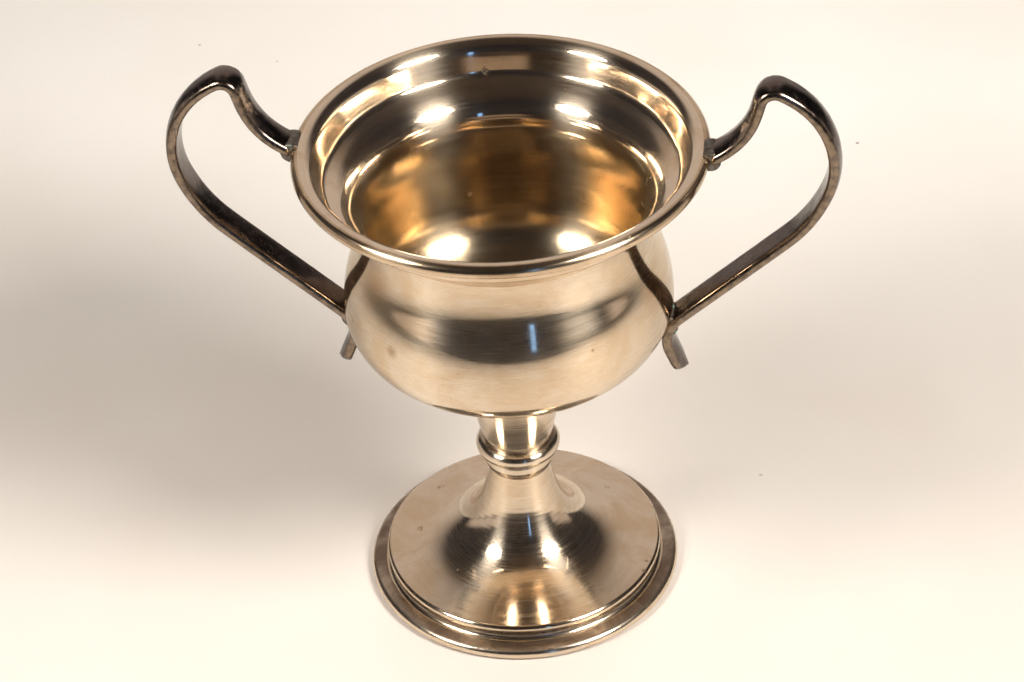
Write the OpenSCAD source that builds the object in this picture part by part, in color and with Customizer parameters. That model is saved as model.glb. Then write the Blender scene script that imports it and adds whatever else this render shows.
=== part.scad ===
// Two-handled cup trophy, soldered together from spun and formed sheet metal.
// Millimetres. +Z is up, the handles lie in the XZ plane, and the origin is the
// centre of the ring that the foot stands on.

/* [Bowl] */
// Outer radius of the bowl at its widest
bowl_r = 23.5; // [18:0.1:30]
// Height of the widest circle above the table
bowl_z = 50.2; // [40:0.1:60]
// Depth of the rounded bottom below the widest circle
bowl_depth = 12.3; // [8:0.1:18]
// Roundness of the bottom, below 1 is fuller than an ellipse
bowl_fullness = 0.89; // [0.7:0.01:1]
// Radius of the shoulder arc above the widest circle
shoulder_r = 22; // [16:0.1:26]
// Angle that the shoulder leans in before the waist turns it back
waist_lean = 23; // [15:1:30]
// Radius of the outer arc that turns the shoulder back upright
waist_r = 15.7; // [8:0.1:20]
// Radius of the outer arc that flares the neck
flare_r = 5.4; // [3:0.1:10]
// Angle that the neck flares out by
flare_lean = 64; // [45:1:75]
// Length of the straight part of the flare
flare_len = 1.1; // [0.1:0.1:4]
// Radius of the bend from the flare into the collar
collar_bend_r = 2.2; // [1:0.1:4]
// Angle of the collar off the vertical
collar_lean = 17; // [0:1:25]
// Length of the straight collar under the lip
collar_len = 2.6; // [1:0.05:6]
// Radius of the lip's underside where it rolls over
lip_r = 1.6; // [1:0.1:3]
// Thickness of the bowl's sheet
bowl_wall = 0.6; // [0.4:0.05:1.2]

/* [Rim] */
// Radius of the round wire under the lip
rim_wire_r = 1.0; // [0.5:0.05:2]

/* [Handles] */
// Width of the strap, front to back
strap_w = 4.9; // [3:0.1:5.6]
// Thickness of the strap
strap_t = 1.9; // [1.8:0.1:3]
// Rounding of the strap's edges
strap_edge_r = 0.7; // [0.2:0.05:0.75]
// Radius of the dome on the strap's outer face
strap_dome_r = 5.2; // [4.6:0.1:20]
// Where the strap's middle line starts, out from the axis
strap_start_x = 28.0; // [25:0.1:30]
// Height where the strap's middle line starts
strap_start_z = 74.7; // [70:0.1:78]
// Direction that the strap leaves the rim in, up from level
strap_start_angle = 20; // [0:1:45]
// Length of the strap's free tail before its rounded tip
tail_len = 4.2; // [2.6:0.1:8]

/* [Stem] */
// Height of the sleeve's lower end
sleeve_z = 24.3; // [20:0.1:30]
// Outer radius of the sleeve's lower end
sleeve_r = 5.05; // [4:0.05:7]
// Outer radius of the sleeve where it meets the bowl
sleeve_top_r = 8.2; // [6:0.1:12]
// Lean of the sleeve's side off the vertical, at both ends
sleeve_lean = 12; // [5:1:20]
// Thickness of the sleeve's sheet
sleeve_wall = 0.6; // [0.4:0.05:1.2]
// Outer radius of the knop ring
knop_r = 6.2; // [5:0.1:9]
// Height of the knop ring
knop_h = 2.6; // [1:0.1:5]
// Outer radius of the neck ring below the knop
neck_ring_r = 5.0; // [4.4:0.05:6]
// Height of the neck ring
neck_ring_h = 2.7; // [1:0.1:4]

/* [Foot] */
// Outer radius of the foot's top tube, inside the rings
foot_tube_r = 4.2; // [3:0.1:5]
// Outer radius where the trumpet starts below the neck ring
trumpet_r = 4.5; // [4:0.1:6]
// Length that the trumpet's curve holds its direction for at each end
trumpet_reach = 10.4; // [6:0.1:12]
// Lean of the trumpet off the vertical where it meets the neck ring
trumpet_lean = 8; // [0:1:20]
// Radius of the foot's plate up to its rolled edge
plate_r = 20.15; // [19:0.05:21]
// Rise of the plate's surface at its edge, towards the stem
plate_rise = 7; // [0:0.5:15]
// Radius of the plate's rolled edge
plate_edge_r = 0.65; // [0.62:0.01:1]
// Radius of the cove under the rolled edge
cove_r = 0.8; // [0.5:0.05:1.2]
// Length of the flat between the cove and the rolled edge
edge_land = 0.15; // [0.05:0.05:0.5]
// Thickness of the foot's sheet
foot_wall = 0.6; // [0.4:0.05:1.2]
// Outer radius of the wire that the foot stands on
base_r = 23.2; // [22.5:0.1:26]
// Height of the base wire
base_h = 1.7; // [1:0.1:3]
// Inner radius of the base wire
base_bore_r = 19.9; // [16:0.1:20.2]

/* [Hidden] */
$fn = 96;

silver = [0.78, 0.76, 0.72];
dark_silver = [0.62, 0.60, 0.57];
solder_grey = [0.50, 0.50, 0.49];

arc_step = 5;       // degrees between the points of an outline's arcs
curve_steps = 24;   // points along a free curve or the bowl's bottom

knop_z = sleeve_z - knop_h;
neck_ring_z = knop_z - neck_ring_h;
bowl_bottom_z = bowl_z - bowl_depth;

// ---- outlines: lists of [r, z, heading] in the plane through the axis ----

// Moves are [radius, turn]: a left turn is positive, and a straight line is [length, 0].
function move_centre(p, m) = [p.x, p.y] + sign(m[1]) * m[0] * [-sin(p[2]), cos(p[2])];
function move_end(p, m) =
    m[1] == 0
        ? [p.x + m[0] * cos(p[2]), p.y + m[0] * sin(p[2]), p[2]]
        : arc_point(p, m, 1);
function arc_point(p, m, f) =
    let (c = move_centre(p, m), h = p[2] + f * m[1])
    [c.x + sign(m[1]) * m[0] * sin(h), c.y - sign(m[1]) * m[0] * cos(h), h];
function start_of(p, moves, i) = i == 0 ? p : start_of(move_end(p, moves[0]), rest(moves), i - 1);
function rest(list) = [for (i = [1:1:len(list) - 1]) list[i]];
function trace(p, moves) = concat([p], [
    for (i = [0:len(moves) - 1])
        let (q = start_of(p, moves, i), m = moves[i], n = max(1, ceil(abs(m[1]) / arc_step)))
        for (k = [1:n]) m[1] == 0 ? move_end(q, m) : arc_point(q, m, k / n)
]);

// A cubic curve through four control points.
function curve_at(c, t) =
    pow(1 - t, 3) * c[0] + 3 * pow(1 - t, 2) * t * c[1] + 3 * (1 - t) * t * t * c[2] + pow(t, 3) * c[3];
function curve_slope(c, t) =
    pow(1 - t, 2) * (c[1] - c[0]) + 2 * (1 - t) * t * (c[2] - c[1]) + t * t * (c[3] - c[2]);
function curve(c) = [
    for (k = [0:curve_steps])
        let (t = k / curve_steps, p = curve_at(c, t), d = curve_slope(c, t))
        [p.x, p.y, atan2(d.y, d.x)]
];

function flat(points) = [for (p = points) [p.x, p.y]];
function reversed(list) = [for (i = [len(list) - 1:-1:0]) list[i]];
function shifted(points, t) = [for (p = points) [p.x - t * sin(p[2]), p.y + t * cos(p[2])]];

// A sheet whose skin is the outline, with its thickness on the left of the outline's heading.
module sheet_section(points, thickness) {
    polygon(concat(flat(points), reversed(shifted(points, thickness))));
}

// ---- bowl ----

bottom_t = [for (k = [0:curve_steps]) 90 * (1 - k / curve_steps)];
function bottom_point(t) = [
    bowl_r * pow(max(cos(t), 0), bowl_fullness),
    bowl_z - bowl_depth * sin(t),
    t == 90 ? 0 : atan2(bowl_depth * cos(t), bowl_r * bowl_fullness * pow(cos(t), bowl_fullness - 1) * sin(t))
];
bowl_bottom = [for (t = bottom_t) bottom_point(t)];
bowl_side = trace([bowl_r, bowl_z, 90], [
    [shoulder_r, waist_lean], [waist_r, -waist_lean],
    [flare_r, -flare_lean], [flare_len, 0],
    [collar_bend_r, flare_lean - collar_lean], [collar_len, 0],
    [lip_r, collar_lean - 90]
]);
bowl_skin = concat(bowl_bottom, rest(bowl_side));
lip_end = bowl_skin[len(bowl_skin) - 1];
rim_centre = [lip_end.x, lip_end.y + bowl_wall - rim_wire_r];
clear_above_rim = 4;

module bowl() {
    color(silver) rotate_extrude() sheet_section(bowl_skin, bowl_wall);
}

// Everything inside the bowl's skin, up to a height.
module inside_bowl(top) {
    polygon(concat(flat(bowl_skin), [[lip_end.x, top], [0, top]]));
}

module cup_section() {
    inside_bowl(lip_end.y + bowl_wall);
    translate(rim_centre) circle(rim_wire_r);
}

// What the stem and the solder are cut back from, so they meet the cup face to face.
module cup_solid() {
    rotate_extrude() {
        cup_section();
        translate([0, rim_centre.y]) square([rim_centre.x, clear_above_rim]);
    }
}

module rim_wire() {
    color(silver) rotate_extrude() difference() {
        translate(rim_centre) circle(rim_wire_r);
        inside_bowl(lip_end.y + 2 * bowl_wall);
    }
}

// ---- handles: one strap swept along arcs and lines in the XZ plane ----

strap_start = [strap_start_x, strap_start_z, strap_start_angle];
strap_moves = [
    [11.5, 55],                     // sweeps up from the rim
    [2.0, 0],                       // short straight rise
    [2.1, -101],                    // tight crest
    [13.0, -84],                    // round shoulder of the loop
    [21.5, -27.7],                  // easing into the long run
    [20.4, 0],                      // long run back down to the bowl
    [5.0, 69.7],                    // touches the bowl and turns out again
    [tail_len - strap_w / 2, 0]     // free tail up to its rounded tip
];
touching_move = 6;                  // the move that touches the bowl
touching_at = 0.3;                  // how far along that move it touches
strap_path = trace(strap_start, strap_moves);
strap_tip = strap_path[len(strap_path) - 1];
tip_steps = 6;
edge_steps = 3;
dome_steps = 4;
tip_width = 0.06;           // of the strap's width, left at the very end

// The strap's section, counter-clockwise: x towards the outside of the loop, y across the strap.
function corner(cx, cy, from) = [
    for (k = [0:edge_steps])
        let (a = from + 90 * k / edge_steps) [cx + strap_edge_r * cos(a), cy + strap_edge_r * sin(a)]
];
inner_x = strap_edge_r - strap_t / 2;
edge_y = strap_w / 2 - strap_edge_r;
dome_drop = strap_dome_r - sqrt(pow(strap_dome_r, 2) - pow(edge_y, 2));
outer_x = strap_t / 2 - dome_drop - strap_edge_r;
strap_dome = [
    for (k = [1:dome_steps - 1])
        let (y = edge_y * (2 * k / dome_steps - 1))
        [strap_t / 2 - strap_dome_r + sqrt(pow(strap_dome_r, 2) - y * y), y]
];
strap_section = concat(
    corner(inner_x, edge_y, 90), corner(inner_x, -edge_y, 180),
    corner(outer_x, -edge_y, 270), strap_dome, corner(outer_x, edge_y, 0)
);

// One ring of the sweep at p = [x, z, heading], with its width scaled and set forward by ahead.
function ring(p, width, ahead) = [
    for (q = strap_section) [
        p.x + ahead * cos(p[2]) - q.x * sin(p[2]), q.y * width,
        p.y + ahead * sin(p[2]) + q.x * cos(p[2])
    ]
];
// The first ring is pushed along the strap until it lies on the rim's round outside.
rim_outer_r = rim_centre.x + rim_wire_r;
function onto_rim(points, heading) = [
    for (q = points)
        let (push = (sqrt(pow(rim_outer_r, 2) - q.y * q.y) - q.x) / cos(heading))
        [q.x + push * cos(heading), q.y, q.z + push * sin(heading)]
];
function outside_rim(points) = min([for (q = points) q.x]) > rim_outer_r;
strap_rings = concat(
    [onto_rim(ring(strap_start, 1, 0), strap_start[2])],
    [for (p = rest(strap_path)) if (outside_rim(ring(p, 1, 0)) || p.y < rim_centre.y - strap_w) ring(p, 1, 0)],
    [for (k = [1:tip_steps]) let (a = 90 * k / tip_steps)
        ring(strap_tip, max(cos(a), tip_width), strap_w / 2 * sin(a))]
);

module strap() {
    n = len(strap_section);
    last = len(strap_rings) - 1;
    polyhedron(
        points = [for (r = strap_rings, q = r) q],
        faces = concat(
            [[for (i = [n - 1:-1:0]) i]],
            [[for (i = [0:n - 1]) last * n + i]],
            [for (j = [0:last - 1], i = [0:n - 1])
                [j * n + i, j * n + (i + 1) % n, (j + 1) * n + (i + 1) % n, (j + 1) * n + i]]
        )
    );
}

module right_handle() {
    color(dark_silver) strap();
}

module left_handle() {
    color(dark_silver) mirror([1, 0, 0]) strap();
}

// ---- stem ----

sleeve_foot_reach = 2.9;    // length that the sleeve's curve holds its lean for, at the bottom
sleeve_bowl_reach = 6.7;    // and at the top
sleeve_overrun = 1.4;       // how far the curve runs up past the bowl's lowest point, to be cut off
sleeve_way = [sin(sleeve_lean), cos(sleeve_lean)];
sleeve_foot = [sleeve_r, sleeve_z];
sleeve_top = [sleeve_top_r, bowl_bottom_z + sleeve_overrun];
sleeve_curve = curve([
    sleeve_foot, sleeve_foot + sleeve_foot_reach * sleeve_way,
    sleeve_top - sleeve_bowl_reach * sleeve_way, sleeve_top
]);

module stem_sleeve() {
    color(silver) difference() {
        rotate_extrude() sheet_section(sleeve_curve, sleeve_wall);
        cup_solid();
    }
}

module stem_ring(z, h, r) {
    translate([0, 0, z]) rotate_extrude() difference() {
        union() {
            translate([r - h / 2, h / 2]) circle(h / 2);
            translate([foot_tube_r, 0]) square([r - h / 2 - foot_tube_r, h]);
        }
        square([foot_tube_r, h]);
    }
}

module knop_ring() {
    color(silver) stem_ring(knop_z, knop_h, knop_r);
}

// A flat-sided ring with a rounded outer face.
module neck_ring() {
    bulge = 0.45;           // how far the face stands out at its middle
    bulge_r = (neck_ring_h * neck_ring_h / 4 + bulge * bulge) / (2 * bulge);
    color(silver) translate([0, 0, neck_ring_z]) rotate_extrude() intersection() {
        translate([foot_tube_r, 0]) square([neck_ring_r - foot_tube_r, neck_ring_h]);
        translate([neck_ring_r - bulge_r, neck_ring_h / 2]) circle(bulge_r);
    }
}

// ---- foot ----

cove_turn = 135;
foot_edge_moves = [
    [cove_r, -cove_turn],                       // the cove above the base wire
    [edge_land, 0],
    [plate_edge_r, cove_turn - plate_rise]      // the rolled edge
];
foot_edge_span = start_of([0, 0, 180], foot_edge_moves, len(foot_edge_moves));
foot_edge_start = [plate_r - foot_edge_span.x, base_h, 180];
foot_edge = trace(foot_edge_start, foot_edge_moves);
plate_end = foot_edge[len(foot_edge) - 1];
trumpet = curve([
    [plate_end.x, plate_end.y],
    [plate_end.x, plate_end.y] + trumpet_reach * [cos(plate_end[2]), sin(plate_end[2])],
    [trumpet_r, neck_ring_z] + trumpet_reach * [sin(trumpet_lean), -cos(trumpet_lean)],
    [trumpet_r, neck_ring_z]
]);
foot_tube = [[foot_tube_r, neck_ring_z, 90], [foot_tube_r, sleeve_z, 90]];
foot_skin = concat(foot_edge, rest(trumpet), foot_tube);

module foot() {
    color(silver) rotate_extrude() sheet_section(foot_skin, foot_wall);
}

// The ring that the foot stands on: half round outside, with a step that the foot's edge sits in.
module base_wire() {
    color(silver) rotate_extrude() difference() {
        union() {
            translate([base_bore_r, 0]) square([base_r - base_h / 2 - base_bore_r, base_h]);
            translate([base_r - base_h / 2, base_h / 2]) circle(base_h / 2);
        }
        sheet_section(foot_skin, foot_wall);
    }
}

// ---- solder: what runs into each joint, cut back from the pieces that it joins ----

bowl_solder_r = 0.8;
bowl_solder_rise = 0.25;    // of the fillet's centre above the bowl's lowest point
rim_solder_r = 1.5;
tail_solder_r = 1.8;
solder_inset = 0.45;        // how far the solder stops short of each edge of the strap
solder_w = strap_w - 2 * solder_inset;
rim_joint = rim_centre + [rim_wire_r, 0];
touching = arc_point(
    start_of(strap_start, strap_moves, touching_move), strap_moves[touching_move], touching_at
);
tail_joint = [touching.x, touching.y] - strap_t / 2 * [-sin(touching.z), cos(touching.z)];

module bowl_solder() {
    color(solder_grey) rotate_extrude() difference() {
        translate([sleeve_top_r, bowl_bottom_z + bowl_solder_rise]) circle(bowl_solder_r);
        cup_section();
        polygon(concat(flat(sleeve_curve), [[0, sleeve_curve[curve_steps].y], [0, sleeve_z]]));
    }
}

// A lump across the strap's width that the strap's end is bedded in.
module joint_solder(centre, r) {
    color(solder_grey) difference() {
        translate([centre.x, solder_w / 2, centre.y]) rotate([90, 0, 0]) cylinder(h = solder_w, r = r);
        cup_solid();
    }
}

module right_rim_solder() {
    joint_solder(rim_joint, rim_solder_r);
}

module left_rim_solder() {
    mirror([1, 0, 0]) joint_solder(rim_joint, rim_solder_r);
}

module right_tail_solder() {
    joint_solder(tail_joint, tail_solder_r);
}

module left_tail_solder() {
    mirror([1, 0, 0]) joint_solder(tail_joint, tail_solder_r);
}

bowl();
rim_wire();
left_handle();
right_handle();
stem_sleeve();
knop_ring();
neck_ring();
foot();
base_wire();
bowl_solder();
left_rim_solder();
right_rim_solder();
left_tail_solder();
right_tail_solder();
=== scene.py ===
"""Looks for the two-handled cup trophy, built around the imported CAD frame. Metres, +Z up."""
import math

import bmesh
import bpy
from mathutils import Matrix, Vector, noise


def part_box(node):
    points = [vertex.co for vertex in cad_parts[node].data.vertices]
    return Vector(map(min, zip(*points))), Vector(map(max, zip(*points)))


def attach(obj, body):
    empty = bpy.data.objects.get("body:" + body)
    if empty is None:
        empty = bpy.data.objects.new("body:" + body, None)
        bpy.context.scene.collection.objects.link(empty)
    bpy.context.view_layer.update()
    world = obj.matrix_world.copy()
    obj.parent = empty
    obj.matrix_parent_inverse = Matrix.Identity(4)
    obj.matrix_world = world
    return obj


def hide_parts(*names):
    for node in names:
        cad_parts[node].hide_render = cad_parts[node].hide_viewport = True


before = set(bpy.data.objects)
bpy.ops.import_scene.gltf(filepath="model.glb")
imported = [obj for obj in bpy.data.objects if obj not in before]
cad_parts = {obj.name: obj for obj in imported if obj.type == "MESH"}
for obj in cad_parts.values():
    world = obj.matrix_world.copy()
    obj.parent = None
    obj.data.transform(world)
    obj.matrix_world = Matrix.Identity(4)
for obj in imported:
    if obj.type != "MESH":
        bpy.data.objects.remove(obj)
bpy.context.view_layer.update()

MM = 0.001
GILT_SHARE = 0.71        # of the bowl's height, from its bottom, that is gilt on the inside

bowl_low, bowl_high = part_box("bowl")
knop_low, knop_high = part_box("knop_ring")
rim_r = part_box("rim_wire")[1].x
neck_ring_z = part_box("neck_ring")[0].z
base_top_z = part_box("base_wire")[1].z
strap_edge_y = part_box("left_handle")[1].y
gilt_top_z = bowl_low.z + GILT_SHARE * (bowl_high.z - bowl_low.z)

# ---------------------------------------------------------------- camera

CAMERA_AZIMUTH = math.radians(8.35)      # from -Y towards +X
CAMERA_ELEVATION = math.radians(38.2)
CAMERA_DISTANCE = 15.256 * rim_r
CAMERA_ROLL = math.radians(-3.52)
CAMERA_TILT = math.radians(0.287)        # how far above AIM the view is centred
AIM = Vector((0, 0, 1.3353 * rim_r))
LENS_MM = 107.2
SENSOR_MM = 36
CLIP_NEAR = 0.01
CLIP_FAR = 20


def make_camera():
    """The photograph's view: from above and a little to the right, with a slight roll."""
    flat = Vector((math.sin(CAMERA_AZIMUTH), -math.cos(CAMERA_AZIMUTH), 0))
    back = flat * math.cos(CAMERA_ELEVATION) + Vector((0, 0, math.sin(CAMERA_ELEVATION)))
    right = Vector((math.cos(CAMERA_AZIMUTH), math.sin(CAMERA_AZIMUTH), 0))
    forward = -back
    up = right.cross(forward)
    forward = forward * math.cos(CAMERA_TILT) + up * math.sin(CAMERA_TILT)
    up = right.cross(forward)
    rolled_right = right * math.cos(CAMERA_ROLL) + up * math.sin(CAMERA_ROLL)
    rolled_up = up * math.cos(CAMERA_ROLL) - right * math.sin(CAMERA_ROLL)
    data = bpy.data.cameras.new("camera")
    data.sensor_width = SENSOR_MM
    data.lens = LENS_MM
    data.clip_start = CLIP_NEAR
    data.clip_end = CLIP_FAR
    camera = bpy.data.objects.new("camera", data)
    axes = Matrix((rolled_right, rolled_up, -forward)).transposed()
    camera.matrix_world = Matrix.Translation(AIM + back * CAMERA_DISTANCE) @ axes.to_4x4()
    bpy.context.scene.collection.objects.link(camera)
    bpy.context.scene.camera = camera


make_camera()

# ---------------------------------------------------------------- node helpers


class Nodes:
    """A short way to write a material's node tree."""

    def __init__(self, name, world=False):
        if world:
            self.owner = bpy.data.worlds.new(name)
        else:
            self.owner = bpy.data.materials.new(name)
        self.owner.use_nodes = True
        self.tree = self.owner.node_tree
        self.tree.nodes.clear()

    def add(self, kind, **settings):
        made = self.tree.nodes.new(kind)
        for key, value in settings.items():
            setattr(made, key, value)
        return made

    def set(self, socket, value):
        if isinstance(value, bpy.types.NodeSocket):
            self.tree.links.new(value, socket)
        else:
            socket.default_value = value

    def math(self, operation, a, b=0.0, clamp=False):
        made = self.add("ShaderNodeMath", operation=operation, use_clamp=clamp)
        self.set(made.inputs[0], a)
        self.set(made.inputs[1], b)
        return made.outputs[0]

    def combine(self, x, y, z):
        made = self.add("ShaderNodeCombineXYZ")
        for socket, value in zip(made.inputs, (x, y, z)):
            self.set(socket, value)
        return made.outputs[0]

    def noise(self, vector, scale, detail=2.0, rough=0.5, distort=0.0):
        made = self.add("ShaderNodeTexNoise")
        self.set(made.inputs["Vector"], vector)
        self.set(made.inputs["Scale"], scale)
        self.set(made.inputs["Detail"], detail)
        self.set(made.inputs["Roughness"], rough)
        self.set(made.inputs["Distortion"], distort)
        return made.outputs["Fac"]

    def cells(self, vector, scale):
        made = self.add("ShaderNodeTexVoronoi")
        self.set(made.inputs["Vector"], vector)
        self.set(made.inputs["Scale"], scale)
        return made

    def ramp(self, value, low, high, out_low=0.0, out_high=1.0):
        """out_low up to low, out_high from high on, and a smooth change between them."""
        made = self.add("ShaderNodeMapRange", interpolation_type="SMOOTHSTEP")
        for name, v in (("Value", value), ("From Min", low), ("From Max", high),
                        ("To Min", out_low), ("To Max", out_high)):
            self.set(made.inputs[name], v)
        return made.outputs["Result"]

    def mix(self, factor, a, b):
        """Colour a where factor is 0, and b where it is 1."""
        made = self.add("ShaderNodeMix", data_type="RGBA")
        self.set(made.inputs[0], factor)
        self.set(made.inputs[6], a)
        self.set(made.inputs[7], b)
        return made.outputs[2]

    def bump(self, height, strength, distance, normal=None):
        made = self.add("ShaderNodeBump")
        self.set(made.inputs["Height"], height)
        self.set(made.inputs["Strength"], strength)
        self.set(made.inputs["Distance"], distance)
        if normal is not None:
            self.set(made.inputs["Normal"], normal)
        return made.outputs["Normal"]

    def point(self):
        """The point on the surface, in millimetres."""
        coords = self.add("ShaderNodeTexCoord").outputs["Object"]
        scaled = self.add("ShaderNodeVectorMath", operation="SCALE")
        self.set(scaled.inputs[0], coords)
        self.set(scaled.inputs["Scale"], 1 / MM)
        return scaled.outputs[0]

    def split(self, vector):
        """The vector's x, y and z."""
        made = self.add("ShaderNodeSeparateXYZ")
        self.set(made.inputs[0], vector)
        return made.outputs

    def length(self, x, y):
        squares = self.math("ADD", self.math("MULTIPLY", x, x), self.math("MULTIPLY", y, y))
        return self.math("SQRT", squares)

    def dot(self, vector, direction):
        made = self.add("ShaderNodeVectorMath", operation="DOT_PRODUCT")
        self.set(made.inputs[0], vector)
        made.inputs[1].default_value = direction
        return made.outputs["Value"]

    def close_to(self, value, centre, width):
        """1 at centre, falling to 0 at width away."""
        distance = self.math("ABSOLUTE", self.math("SUBTRACT", value, centre))
        return self.ramp(distance, 0.0, width, 1.0, 0.0)

    def finish(self, shader):
        self.set(self.add("ShaderNodeOutputMaterial").inputs["Surface"], shader.outputs[0])
        return self.owner


def rgb(red, green, blue):
    return (red, green, blue, 1.0)


# ---------------------------------------------------------------- metals
# Lengths in the materials are in millimetres, and a noise's scale is in features per millimetre.

SILVER = rgb(0.74, 0.63, 0.49)
WARM_SILVER = rgb(0.66, 0.52, 0.36)
TARNISH = rgb(0.42, 0.29, 0.17)
DARK_TARNISH = rgb(0.13, 0.09, 0.07)
STAIN = rgb(0.50, 0.34, 0.20)
GOLDEN = rgb(0.62, 0.51, 0.36)
DEEP_GOLD = rgb(0.47, 0.36, 0.22)
STRAP_PALE = rgb(0.15, 0.12, 0.105)
STRAP_DARK = rgb(0.09, 0.07, 0.06)
STRAP_BLOTCH = rgb(0.10, 0.07, 0.06)
BRASS = rgb(0.60, 0.46, 0.29)
SOLDER_PALE = rgb(0.20, 0.175, 0.15)
SOLDER_DARK = rgb(0.06, 0.045, 0.035)
VERDIGRIS = rgb(0.16, 0.34, 0.27)

HAZE_STRETCH = 0.97      # anisotropy of the wide, soft layer
HAZE_ROUGH = (0.27, 0.36)
AROUND_AXIS = 0.25       # anisotropic rotation, which stretches highlights across the grooves
GROOVES_PER_MM = 3.2
SLOW_TURN = 0.06         # how slowly the grooves change on the way around
GRIME_STRENGTH = 0.85
GILT_WAVINESS = 1.5      # of the gilding's upper edge, in millimetres
WORN_BAND = 0.65         # along each edge of a strap, in millimetres


def spun_silver(name, clean, tarnished, rough, stretch, haze=0.20, waviness=0.05,
                patch_low=0.50, patch_high=0.72, gilt_between=None, dirt_at=(), stains=()):
    """Polished plate on spun or turned sheet: grooves around the axis, tarnish in patches and brown spots.

    rough is the lowest and highest roughness of the sharp layer, and stretch its anisotropy; haze is the
    share of the soft layer. The plate is gilt below a pair of heights, gilt_between, and fades to silver
    from one to the other. dirt_at lists (height, half width), and stains lists (centre, reach, colour)."""
    n = Nodes(name)
    point = n.point()
    x, y, z = n.split(point)
    r = n.length(x, y)
    across = n.combine(
        n.math("ADD", n.math("MULTIPLY", r, GROOVES_PER_MM), n.math("MULTIPLY", x, SLOW_TURN)),
        n.math("ADD", n.math("MULTIPLY", z, GROOVES_PER_MM), n.math("MULTIPLY", y, SLOW_TURN)),
        n.math("MULTIPLY", n.math("SUBTRACT", x, y), SLOW_TURN),
    )
    grooves = n.noise(across, 1.0, detail=3.0, rough=0.65)
    broad_grooves = n.noise(across, 0.28, detail=2.0)
    fine_grooves = n.noise(across, 3.0, detail=2.0)
    waves = n.noise(point, 0.11, detail=1.0)
    patches = n.noise(point, 0.12, detail=6.0, rough=0.62, distort=0.8)
    film = n.ramp(patches, patch_low, patch_high)
    streaked = n.math("ADD", film, n.ramp(fine_grooves, 0.45, 0.75, 0.0, 0.06), clamp=True)

    spots = n.cells(point, 0.34)
    spot_size = n.ramp(n.noise(point, 0.35, detail=1.0), 0.60, 0.75, 0.0, 0.26)
    speck = n.ramp(n.math("SUBTRACT", spots.outputs["Distance"], spot_size), -0.05, 0.06, 1.0, 0.0)
    ragged = n.math("MULTIPLY", speck, n.ramp(n.noise(point, 2.4, detail=4.0), 0.35, 0.62))

    colour = n.mix(streaked, clean, tarnished)
    if gilt_between is not None:
        low, high = gilt_between
        gold = n.mix(n.ramp(patches, 0.40, 0.70), GOLDEN, DEEP_GOLD)
        gilt = n.ramp(n.math("ADD", z, n.math("MULTIPLY", waves, GILT_WAVINESS)), low, high, 1.0, 0.0)
        colour = n.mix(gilt, colour, gold)
    colour = n.mix(n.math("MULTIPLY", ragged, 0.75), colour, TARNISH)
    grime = 0.0
    for height, width in dirt_at:
        band = n.close_to(z, height, width)
        uneven = n.math("MULTIPLY", band, n.ramp(patches, 0.30, 0.62, 0.35, 1.0))
        grime = n.math("MAXIMUM", grime, uneven)
    if dirt_at:
        colour = n.mix(n.math("MULTIPLY", grime, GRIME_STRENGTH), colour, DARK_TARNISH)
    for centre, reach, tone in stains:
        away = n.add("ShaderNodeVectorMath", operation="DISTANCE")
        n.set(away.inputs[0], point)
        away.inputs[1].default_value = centre
        blurred = n.math("ADD", away.outputs["Value"], n.math("MULTIPLY", patches, 1.6 * reach))
        colour = n.mix(n.ramp(blurred, 0.8 * reach, 2.1 * reach, 0.85, 0.0), colour, tone)
    fine = n.noise(point, 9.0, detail=2.0)
    colour = n.mix(n.ramp(fine, 0.35, 0.75, 0.0, 0.10), colour, TARNISH)

    low, high = rough
    roughness = n.ramp(grooves, 0.30, 0.72, low, high)
    roughness = n.math("ADD", roughness, n.math("MULTIPLY", streaked, 0.05))
    roughness = n.math("ADD", roughness, n.math("MULTIPLY", ragged, 0.25))
    if dirt_at:
        roughness = n.math("ADD", roughness, n.math("MULTIPLY", grime, 0.25))
    if gilt_between is not None:
        roughness = n.math("ADD", roughness, n.math("MULTIPLY", gilt, 0.10))

    normal = n.bump(waves, waviness, 1.0 * MM)
    normal = n.bump(broad_grooves, 0.03, 0.02 * MM, normal)
    normal = n.bump(grooves, 0.05, 0.006 * MM, normal)

    tangent = n.add("ShaderNodeTangent", direction_type="RADIAL", axis="Z").outputs[0]
    haze_roughness = n.ramp(grooves, 0.30, 0.72, *HAZE_ROUGH)
    layers = []
    for layer_roughness, layer_stretch in ((roughness, stretch), (haze_roughness, HAZE_STRETCH)):
        layer = n.add("ShaderNodeBsdfPrincipled")
        layer.inputs["Metallic"].default_value = 1.0
        layer.inputs["Anisotropic"].default_value = layer_stretch
        layer.inputs["Anisotropic Rotation"].default_value = AROUND_AXIS
        n.set(layer.inputs["Base Color"], colour)
        n.set(layer.inputs["Roughness"], layer_roughness)
        n.set(layer.inputs["Normal"], normal)
        n.set(layer.inputs["Tangent"], tangent)
        layers.append(layer)
    shader = n.add("ShaderNodeMixShader")
    n.set(shader.inputs[0], n.ramp(fine_grooves, 0.25, 0.75, 0.8 * haze, 1.2 * haze))
    n.set(shader.inputs[1], layers[0].outputs[0])
    n.set(shader.inputs[2], layers[1].outputs[0])
    return n.finish(shader)


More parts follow.
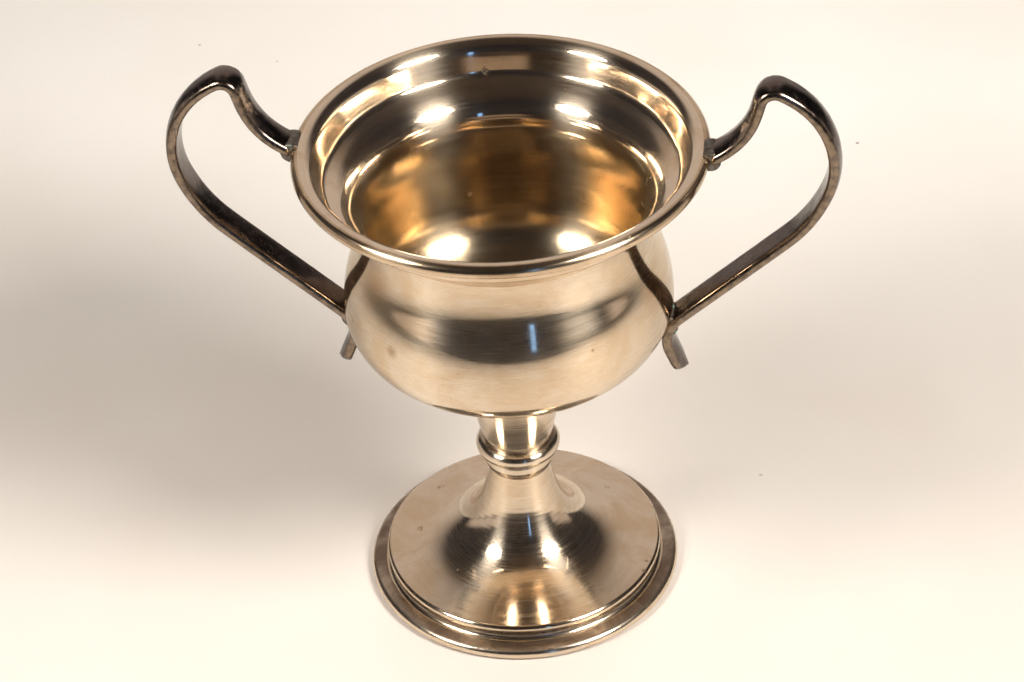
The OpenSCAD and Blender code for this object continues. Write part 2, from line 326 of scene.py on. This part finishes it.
def strap_silver(name):
    """Plate on the bent straps: dark, with brassy wear at the edges, fine scratches and small pits."""
    n = Nodes(name)
    point = n.point()
    x, y, z = n.split(point)
    patches = n.noise(point, 0.16, detail=6.0, rough=0.65, distort=0.6)
    blotches = n.noise(point, 0.9, detail=4.0, rough=0.6)
    lengthways = n.combine(n.math("MULTIPLY", x, 0.5), n.math("MULTIPLY", y, 6.0), n.math("MULTIPLY", z, 0.5))
    scratches = n.noise(lengthways, 1.4, detail=4.0, rough=0.7)
    colour = n.mix(n.ramp(patches, 0.42, 0.68), STRAP_PALE, STRAP_DARK)
    colour = n.mix(n.ramp(blotches, 0.52, 0.74, 0.0, 0.3), colour, STRAP_BLOTCH)
    edge = strap_edge_y / MM
    towards_edge = n.ramp(n.math("ABSOLUTE", y), edge - WORN_BAND, edge)
    worn = n.math("MULTIPLY", towards_edge, n.ramp(blotches, 0.40, 0.60, 1.0, 0.3))
    colour = n.mix(n.math("MULTIPLY", worn, 0.3), colour, BRASS)
    pits = n.cells(point, 1.3)
    pit = n.math("MULTIPLY", n.ramp(pits.outputs["Distance"], 0.10, 0.20, 1.0, 0.0),
                 n.ramp(n.noise(point, 0.5), 0.55, 0.65))
    colour = n.mix(n.math("MULTIPLY", pit, 0.8), colour, DARK_TARNISH)
    roughness = n.ramp(scratches, 0.30, 0.72, 0.13, 0.27)
    roughness = n.math("ADD", roughness, n.ramp(blotches, 0.50, 0.75, 0.0, 0.14))
    normal = n.bump(n.noise(point, 0.20, detail=2.0), 0.35, 0.6 * MM)
    normal = n.bump(scratches, 0.22, 0.02 * MM, normal)
    normal = n.bump(pit, 0.5, -0.05 * MM, normal)
    shader = n.add("ShaderNodeBsdfPrincipled")
    shader.inputs["Metallic"].default_value = 1.0
    n.set(shader.inputs["Base Color"], colour)
    n.set(shader.inputs["Roughness"], roughness)
    n.set(shader.inputs["Normal"], normal)
    return n.finish(shader)


def solder_grey(name, green):
    """Dull dark solder with pits. The higher green is, from 0 to 1, the stronger its green corrosion."""
    n = Nodes(name)
    point = n.point()
    lumps = n.noise(point, 1.1, detail=5.0, rough=0.65)
    grain = n.noise(point, 6.0, detail=3.0, rough=0.7)
    colour = n.mix(n.ramp(lumps, 0.35, 0.68), SOLDER_PALE, SOLDER_DARK)
    blooms = n.ramp(n.noise(point, 0.8, detail=4.0), 0.52, 0.62)
    corrosion = n.math("MULTIPLY", blooms, green)
    colour = n.mix(corrosion, colour, VERDIGRIS)
    pits = n.cells(point, 1.5)
    pit = n.ramp(pits.outputs["Distance"], 0.12, 0.30, 1.0, 0.0)
    shader = n.add("ShaderNodeBsdfPrincipled")
    n.set(shader.inputs["Metallic"], n.math("SUBTRACT", 0.95, n.math("MULTIPLY", corrosion, 0.9)))
    n.set(shader.inputs["Base Color"], colour)
    n.set(shader.inputs["Roughness"], n.ramp(grain, 0.3, 0.7, 0.30, 0.52))
    normal = n.bump(lumps, 0.8, 0.25 * MM)
    normal = n.bump(pit, 0.7, -0.15 * MM, normal)
    normal = n.bump(grain, 0.4, 0.03 * MM, normal)
    n.set(shader.inputs["Normal"], normal)
    return n.finish(shader)


# ---------------------------------------------------------------- meshes

AROUND = 240                     # segments around every turned piece
CORNER = math.radians(24)        # a turn sharper than this stays a corner
ON_AXIS = 1e-6                   # a point closer to the axis than this is on it
SEAM_WIDTH = 1e-7                # a vertex closer to the XZ plane than this is on it
TINY = 1e-9                      # stands in for zero, against rounding and division by zero
WELD_GAP = 1e-6                  # vertices closer together than this are joined
QUAD_ANGLE = math.radians(60)    # two triangles that meet flatter than this become one quad
STRAP_SUBDIVISIONS = 2
SOLDER_VOXEL = 0.16 * MM
SOLDER_RELAX = 6                 # rounds of smoothing
SOLDER_PROUD = 0.4 * MM          # how far run solder may reach past its CAD box
LUMPS_PER_MM = 0.9
LUMP_FRACTAL = (0.8, 2.0, 3)     # noise.fractal's dimension, lacunarity and octaves
SEED_STEPS = (13.7, 5.1, 9.3)    # how far apart two seeds' noise is taken, on x, y and z


def seam_outline(node):
    """The node's outline in the XZ plane, as a chain of (r, z) points, and whether it is closed."""
    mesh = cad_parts[node].data
    links = {}

    def key(vertex):
        return (round(vertex.co.x, 7), round(vertex.co.z, 7))

    def on_seam(vertex):
        return abs(vertex.co.y) < SEAM_WIDTH and vertex.co.x > -TINY

    for edge in mesh.edges:
        a, b = (mesh.vertices[i] for i in edge.vertices)
        if on_seam(a) and on_seam(b) and key(a) != key(b):
            links.setdefault(key(a), set()).add(key(b))
            links.setdefault(key(b), set()).add(key(a))
    ends = sorted(p for p in links if len(links[p]) == 1)
    start = min(ends, key=lambda p: p[1]) if ends else min(links, key=lambda p: (p[1], p[0]))
    chain = [start]
    seen = {start}
    while True:
        onward = sorted(p for p in links[chain[-1]] if p not in seen)
        if not onward:
            break
        chain.append(onward[0])
        seen.add(onward[0])
    return [Vector(p) for p in chain], not ends


def turn_at(points, i, closed):
    """The angle that the outline turns through at point i."""
    count = len(points)
    if not closed and i in (0, count - 1):
        return 0.0
    before = points[i] - points[(i - 1) % count]
    after = points[(i + 1) % count] - points[i]
    return abs(before.angle(after, 0.0))


def refine(points, closed, steps):
    """The outline with steps points to a segment, on smooth curves, and a corner flag for each point."""
    count = len(points)
    corner = [turn_at(points, i, closed) > CORNER for i in range(count)]
    out, flags = [], []
    segments = count if closed else count - 1
    for i in range(segments):
        p1, p2 = points[i], points[(i + 1) % count]
        open_start = not closed and i == 0
        open_end = not closed and i == count - 2
        p0 = 2 * p1 - p2 if corner[i] or open_start else points[(i - 1) % count]
        p3 = 2 * p2 - p1 if corner[(i + 1) % count] or open_end else points[(i + 2) % count]
        length = (p2 - p1).length
        m1 = (p2 - p0) * (length / max((p2 - p0).length, TINY))
        m2 = (p3 - p1) * (length / max((p3 - p1).length, TINY))
        for k in range(steps):
            t = k / steps
            point = ((2 * t**3 - 3 * t**2 + 1) * p1 + (t**3 - 2 * t**2 + t) * m1
                     + (3 * t**2 - 2 * t**3) * p2 + (t**3 - t**2) * m2)
            out.append(point)
            flags.append(corner[i] and k == 0)
    if not closed:
        out.append(points[-1])
        flags.append(False)
    return out, flags


def lathe(name, node, materials, steps, material_of=None):
    """A finely turned copy of a CAD node, on the CAD outline, which it then stands for.

    material_of, if given, picks a material's number from the two ends of a piece of outline."""
    points, closed = seam_outline(node)
    outline, corners = refine(points, closed, steps)
    mesh = bpy.data.meshes.new(name)
    vertices, rings = [], []
    for p in outline:
        if p.x < ON_AXIS:
            rings.append([len(vertices)])
            vertices.append((0, 0, p.y))
        else:
            rings.append(list(range(len(vertices), len(vertices) + AROUND)))
            for k in range(AROUND):
                a = 2 * math.pi * k / AROUND
                vertices.append((p.x * math.cos(a), p.x * math.sin(a), p.y))
    faces, slots, sharp = [], [], set()
    count = len(rings)
    for i in range(count if closed else count - 1):
        a, b = rings[i], rings[(i + 1) % count]
        slot = material_of(outline[i], outline[(i + 1) % count]) if material_of else 0
        for k in range(AROUND):
            k2 = (k + 1) % AROUND
            quad = [a[k % len(a)], a[k2 % len(a)], b[k2 % len(b)], b[k % len(b)]]
            face = [v for j, v in enumerate(quad) if v not in quad[:j]]
            faces.append(face)
            slots.append(slot)
        if corners[i]:
            sharp.update(frozenset((a[k], a[(k + 1) % AROUND])) for k in range(AROUND) if len(a) > 1)
    mesh.from_pydata(vertices, [], faces)
    mesh.polygons.foreach_set("material_index", slots)
    mesh.polygons.foreach_set("use_smooth", [True] * len(faces))
    for edge in mesh.edges:
        if frozenset(edge.vertices) in sharp:
            edge.use_edge_sharp = True
    fixed = bmesh.new()
    fixed.from_mesh(mesh)
    bmesh.ops.recalc_face_normals(fixed, faces=fixed.faces)
    if fixed.calc_volume(signed=True) < 0:
        bmesh.ops.reverse_faces(fixed, faces=fixed.faces)
    fixed.to_mesh(mesh)
    fixed.free()
    for material in materials:
        mesh.materials.append(material)
    return settle(name, mesh, node)


def settle(name, mesh, node):
    """Puts a finished mesh in the scene in place of its CAD node."""
    piece = bpy.data.objects.new(name, mesh)
    bpy.context.scene.collection.objects.link(piece)
    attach(piece, "root")
    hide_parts(node)
    return piece


def welded_copy(node):
    """A bmesh of a CAD node with its split vertices joined."""
    made = bmesh.new()
    made.from_mesh(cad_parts[node].data)
    bmesh.ops.remove_doubles(made, verts=made.verts, dist=WELD_GAP)
    return made


def strap(name, node, material):
    """The bent strap as a smooth quad mesh."""
    made = welded_copy(node)
    bmesh.ops.join_triangles(made, faces=made.faces, angle_face_threshold=QUAD_ANGLE,
                             angle_shape_threshold=QUAD_ANGLE)
    for face in made.faces:
        face.smooth = True
    bmesh.ops.recalc_face_normals(made, faces=made.faces)
    mesh = bpy.data.meshes.new(name)
    made.to_mesh(mesh)
    made.free()
    mesh.materials.append(material)
    piece = settle(name, mesh, node)
    smooth = piece.modifiers.new("smooth", "SUBSURF")
    smooth.levels = STRAP_SUBDIVISIONS
    smooth.render_levels = STRAP_SUBDIVISIONS
    return piece


def solder_lump(name, node, material, swell, seed):
    """Solder that has run: the CAD lump, remeshed fine and pushed about by noise."""
    made = welded_copy(node)
    mesh = bpy.data.meshes.new(name)
    made.to_mesh(mesh)
    made.free()
    piece = bpy.data.objects.new(name + "_cast", mesh)
    bpy.context.scene.collection.objects.link(piece)
    grid = piece.modifiers.new("grid", "REMESH")
    grid.mode = "VOXEL"
    grid.voxel_size = SOLDER_VOXEL
    relax = piece.modifiers.new("relax", "SMOOTH")
    relax.iterations = SOLDER_RELAX
    evaluated = piece.evaluated_get(bpy.context.evaluated_depsgraph_get())
    cast = bpy.data.meshes.new_from_object(evaluated)
    bpy.data.objects.remove(piece)
    low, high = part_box(node)
    offset = Vector([seed * step for step in SEED_STEPS])
    normals = [v.normal.copy() for v in cast.vertices]
    for v, normal in zip(cast.vertices, normals):
        lump = noise.fractal(v.co / MM * LUMPS_PER_MM + offset, *LUMP_FRACTAL)
        moved = v.co + normal * (swell * (0.5 + lump))
        for axis in range(3):
            moved[axis] = min(max(moved[axis], low[axis] - SOLDER_PROUD), high[axis] + SOLDER_PROUD)
        v.co = moved
    cast.materials.clear()
    cast.materials.append(material)
    cast.polygons.foreach_set("use_smooth", [True] * len(cast.polygons))
    cast.name = name
    return settle(name, cast, node)


# ---------------------------------------------------------------- the cup


def on_bowl(degrees, radius, height):
    """A place on the bowl's outside: the angle from +X, the distance from the axis, and the height, in mm."""
    angle = math.radians(degrees)
    return radius * math.cos(angle), radius * math.sin(angle), height


BOWL_STAINS = (
    (on_bowl(-143, 21, 61), 4.2, STAIN),         # broad stain on the left shoulder
    (on_bowl(-127.5, 23, 53.5), 1.0, TARNISH),   # small brown spot low on the left
    (on_bowl(-20, 22, 57), 3.0, STAIN),          # stain on the right, behind the strap's end
)

body_silver = spun_silver(
    "body_silver", SILVER, WARM_SILVER, (0.035, 0.08), stretch=0.3, haze=0.22,
    patch_low=0.36, patch_high=0.62, dirt_at=((bowl_low.z / MM + 0.6, 0.9),), stains=BOWL_STAINS,
)
inside_silver = spun_silver(
    "inside_silver", SILVER, WARM_SILVER, (0.05, 0.11), stretch=0.4, waviness=0.08,
    gilt_between=(gilt_top_z / MM - 1.0, gilt_top_z / MM + 2.0),
)
rim_silver = spun_silver("rim_silver", WARM_SILVER, TARNISH, (0.12, 0.20), stretch=0.3, patch_low=0.45)
stem_silver = spun_silver(
    "stem_silver", SILVER, WARM_SILVER, (0.09, 0.18), stretch=0.5,
    dirt_at=((knop_low.z / MM, 0.35), (knop_high.z / MM, 0.35), (neck_ring_z / MM, 0.3)),
)
foot_silver = spun_silver(
    "foot_silver", SILVER, WARM_SILVER, (0.05, 0.12), stretch=0.4, haze=0.22,
    patch_low=0.40, patch_high=0.68, dirt_at=((base_top_z / MM + 0.7, 0.9),),
)
base_silver = spun_silver(
    "base_silver", SILVER, WARM_SILVER, (0.11, 0.2), stretch=0.3, dirt_at=((base_top_z / MM, 0.3),),
)
dark_strap = strap_silver("dark_strap")
solder = solder_grey("solder_grey", 0.15)
green_solder = solder_grey("green_solder", 1.0)

INNER_SKIN_REACH = 0.15 * MM     # well under the sheet's thickness, so the outer skin is further away

bowl_outline, _ = seam_outline("bowl")
lip = max(range(len(bowl_outline)), key=lambda i: (bowl_outline[i].y, bowl_outline[i].x))
inner_skin = bowl_outline[lip:]


def distance_to(point, a, b):
    """The distance from the point to the segment from a to b."""
    along = b - a
    t = (point - a).dot(along) / max(along.length_squared, TINY**2)
    return (point - (a + along * max(0.0, min(1.0, t)))).length


def inside_of_bowl(p, q):
    """1, for inside_silver, where the outline from p to q is the bowl's inner skin, and 0 elsewhere."""
    middle = (p + q) / 2
    nearest = min(distance_to(middle, a, b) for a, b in zip(inner_skin, inner_skin[1:]))
    return 1 if nearest < INNER_SKIN_REACH else 0


lathe("bowl_shell", "bowl", [body_silver, inside_silver], 2, inside_of_bowl)
lathe("rim_bead", "rim_wire", [rim_silver], 2)
lathe("sleeve_shell", "stem_sleeve", [stem_silver], 2)
lathe("knop_bead", "knop_ring", [stem_silver], 3)
lathe("neck_bead", "neck_ring", [stem_silver], 3)
lathe("foot_shell", "foot", [foot_silver], 2)
lathe("base_bead", "base_wire", [base_silver], 3)
lathe("sleeve_fillet", "bowl_solder", [stem_silver], 2)
strap("left_strap", "left_handle", dark_strap)
strap("right_strap", "right_handle", dark_strap)
solder_lump("left_rim_bead", "left_rim_solder", solder, 0.03 * MM, 1)
solder_lump("right_rim_bead", "right_rim_solder", solder, 0.03 * MM, 2)
solder_lump("left_tail_bead", "left_tail_solder", solder, 0.10 * MM, 3)
solder_lump("right_tail_bead", "right_tail_solder", green_solder, 0.10 * MM, 4)

# ---------------------------------------------------------------- stage

FLOOR_FRONT = 0.29       # the paper's edge, on the camera's side
FLOOR_BACK = 1.2
FLOOR_HALF = 0.6
PAINTED_LIGHT_FROM = 35.0        # mm behind the cup's axis, where the paper starts to get paler, as painted light
PAINTED_LIGHT_TO = 135.0
# The paper's two colours are painted light and shade: the near one is darker, as painted shade over the cup's
# cast shadows, and the far one is paler, as painted light at the back
NEAR_PAPER_SHADED = (rgb(0.68, 0.63, 0.58), rgb(0.65, 0.59, 0.54))
FAR_PAPER_LIT = (rgb(0.96, 0.92, 0.87), rgb(0.93, 0.88, 0.82))
PAPER_GRAIN = rgb(0.60, 0.52, 0.47)
PAPER_SPECK = rgb(0.25, 0.17, 0.12)


def floor_material():
    """Pale, slightly warm paper with a faint grain and a few specks. It is painted darker near the cup, as
    painted shade over the cup's cast shadows, and painted paler towards the back, as painted light.
    """
    n = Nodes("floor_paper")
    point = n.point()
    _, y, _ = n.split(point)
    clouds = n.ramp(n.noise(point, 0.02, detail=3.0), 0.35, 0.7)
    grain = n.noise(point, 3.0, detail=2.0, rough=0.7)
    near_shaded = n.mix(clouds, *NEAR_PAPER_SHADED)
    far_lit = n.mix(clouds, *FAR_PAPER_LIT)
    # painted light and shade: darker paper near the cup, paler paper behind it
    colour = n.mix(n.ramp(y, PAINTED_LIGHT_FROM, PAINTED_LIGHT_TO), near_shaded, far_lit)
    colour = n.mix(n.ramp(grain, 0.3, 0.7, 0.0, 0.10), colour, PAPER_GRAIN)
    cell = n.cells(point, 0.055)
    speck = n.ramp(cell.outputs["Distance"], 0.016, 0.030, 1.0, 0.0)
    kept = n.ramp(n.noise(point, 0.05), 0.46, 0.50)
    colour = n.mix(n.math("MULTIPLY", speck, kept), colour, PAPER_SPECK)
    shader = n.add("ShaderNodeBsdfPrincipled")
    shader.inputs["Specular IOR Level"].default_value = 0.2
    n.set(shader.inputs["Base Color"], colour)
    n.set(shader.inputs["Roughness"], n.ramp(grain, 0.3, 0.7, 0.65, 0.8))
    n.set(shader.inputs["Normal"], n.bump(grain, 0.2, 0.05 * MM))
    return n.finish(shader)


def make_floor():
    mesh = bpy.data.meshes.new("floor")
    corners = [(-FLOOR_HALF, -FLOOR_FRONT), (FLOOR_HALF, -FLOOR_FRONT),
               (FLOOR_HALF, FLOOR_BACK), (-FLOOR_HALF, FLOOR_BACK)]
    turn = Matrix.Rotation(CAMERA_AZIMUTH, 2)
    mesh.from_pydata([(*(turn @ Vector(c)), 0) for c in corners], [], [(0, 1, 2, 3)])
    mesh.materials.append(floor_material())
    floor = bpy.data.objects.new("floor", mesh)
    bpy.context.scene.collection.objects.link(floor)


ROOM_DARK = rgb(0.022, 0.020, 0.023)
ROOM_PALE = rgb(0.68, 0.58, 0.52)
CEILING = rgb(0.05, 0.036, 0.028)


def make_room():
    """What the metal mirrors: a dark room and ceiling, pale behind the cup and low down at both sides.

    Diffuse light doesn't see it, so it doesn't light the paper."""
    n = Nodes("room", world=True)
    ray = n.add("ShaderNodeTexCoord").outputs["Generated"]
    _, _, up = n.split(ray)
    back = n.dot(ray, (-math.sin(CAMERA_AZIMUTH), math.cos(CAMERA_AZIMUTH), 0))
    right = n.dot(ray, (math.cos(CAMERA_AZIMUTH), math.sin(CAMERA_AZIMUTH), 0))
    level = n.math("SQRT", n.math("SUBTRACT", 1.0001, n.math("MULTIPLY", up, up)))
    behind = n.ramp(n.math("DIVIDE", back, level), 0.70, 0.92)
    sides = n.math("MAXIMUM", n.ramp(right, -0.90, -0.74, 1.0, 0.0), n.ramp(right, 0.90, 0.97))
    table_ends = n.math("MULTIPLY", sides, n.ramp(up, 0.10, 0.24, 1.0, 0.0))
    colour = n.mix(n.math("MAXIMUM", behind, table_ends), ROOM_DARK, ROOM_PALE)
    below_ceiling = n.ramp(up, 0.72, 0.95, 1.0, 0.0)
    colour = n.mix(below_ceiling, CEILING, colour)
    shader = n.add("ShaderNodeBackground")
    n.set(shader.inputs["Color"], colour)
    n.set(n.add("ShaderNodeOutputWorld").inputs["Surface"], shader.outputs[0])
    bpy.context.scene.world = n.owner
    n.owner.cycles_visibility.diffuse = False


CUP_MIDDLE = Vector((0, 0, 0.04))
LAMP_COLOUR = (1.0, 0.95, 0.89)
FILL_COLOUR = (1.0, 0.95, 0.88)
WINDOW_COLOUR = (0.22, 0.47, 1.0)
WINDOW_AZIMUTH = math.radians(22)        # from -Y towards +X
WINDOW_RISE = 0.24                       # how steeply the window lies above the table
WINDOW_DISTANCE = 0.6
WINDOW_HEIGHT = 0.25


def area_light(name, place, target, size, watts, colour, height=None):
    """A disc of the given size, or a rectangle that wide where a height is given."""
    data = bpy.data.lights.new(name, "AREA")
    if height is None:
        data.shape = "DISK"
    else:
        data.shape = "RECTANGLE"
        data.size_y = height
    data.size = size
    data.energy = watts
    data.color = colour
    light = bpy.data.objects.new(name, data)
    light.location = place
    light.rotation_euler = (target - place).to_track_quat("-Z", "Y").to_euler()
    bpy.context.scene.collection.objects.link(light)
    return light


def make_lights():
    area_light("left_lamp", Vector((-0.150, -0.108, 0.195)), CUP_MIDDLE,
               size=0.082, watts=0.56, colour=LAMP_COLOUR)
    area_light("right_lamp", Vector((0.205, -0.115, 0.255)), CUP_MIDDLE,
               size=0.115, watts=1.45, colour=LAMP_COLOUR)
    fill = area_light("floor_fill", Vector((0, 0.40, 0.20)), Vector((0, 0.20, 0)),
                      size=0.36, watts=0.85, colour=FILL_COLOUR)
    fill.visible_glossy = False
    towards_window = Vector((math.sin(WINDOW_AZIMUTH), -math.cos(WINDOW_AZIMUTH), WINDOW_RISE))
    area_light("window", WINDOW_DISTANCE * towards_window, CUP_MIDDLE,
               size=0.030, watts=0.055, colour=WINDOW_COLOUR, height=WINDOW_HEIGHT)


make_floor()
make_room()
make_lights()
bpy.context.scene.view_settings.view_transform = "Standard"
